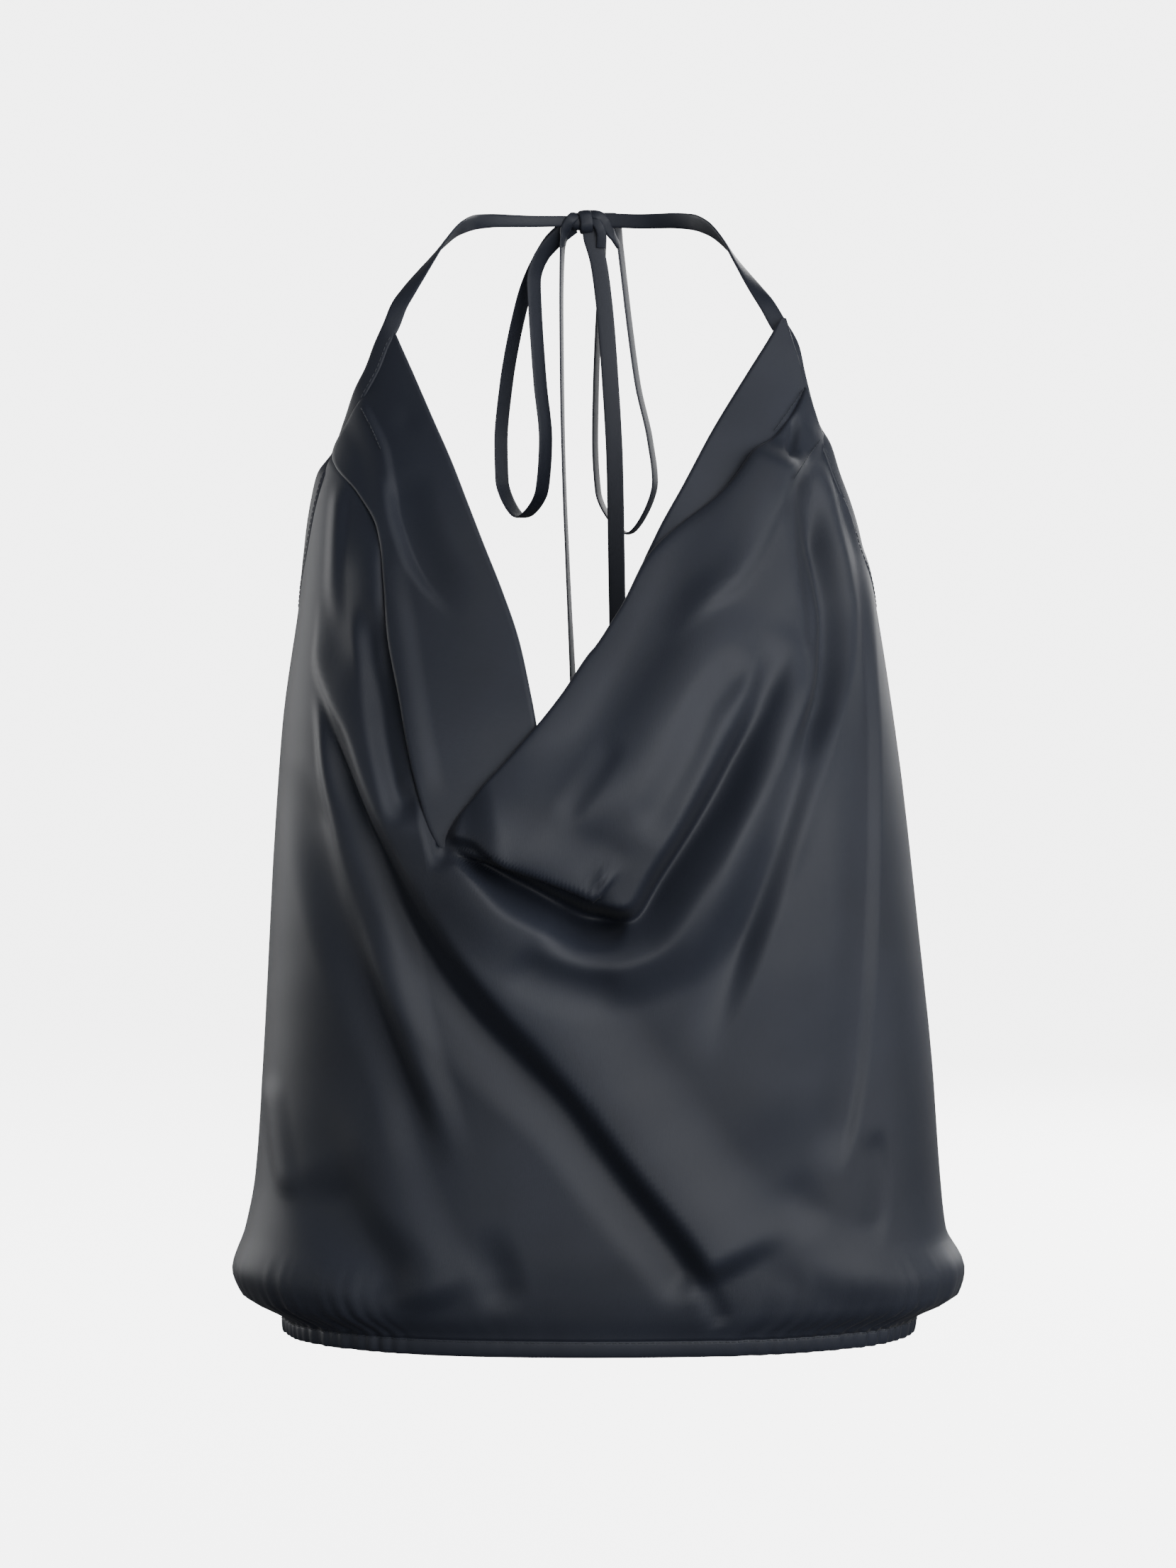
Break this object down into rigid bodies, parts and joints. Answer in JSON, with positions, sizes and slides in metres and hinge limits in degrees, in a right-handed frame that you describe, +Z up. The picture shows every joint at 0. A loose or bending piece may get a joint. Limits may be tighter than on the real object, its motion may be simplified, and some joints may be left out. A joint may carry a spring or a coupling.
{
  "type": "halter neck top",
  "caption": "Backless halter top of satin with a deep draped cowl neck, neck ties in a bow and an elastic hem, in its hollow worn form.",
  "frame": {"origin": "inner face of the neck strap at the nape, at the middle of its height, where a neck holds the garment up", "axes": "+Z up, -Y to the front of the garment, +X to the right hand side as seen from the front"},
  "size_m": [0.3595, 0.258, 0.5525],
  "materials": {
    "satin": "dark navy satin",
    "binding": "dark navy satin, cut on the bias and folded"
  },
  "bodies": {
    "root": {"front_body": "satin", "front_neck_fold": "satin", "back_panel": "satin", "hem_casing": "satin", "halter_tie_left": "binding", "halter_tie_right": "binding", "back_edge_binding": "binding", "bow_knot": "binding", "bow_loop_left": "binding", "bow_loop_right": "binding", "bow_tail_left": "binding", "bow_tail_right": "binding"}
  },
  "joints": []
}
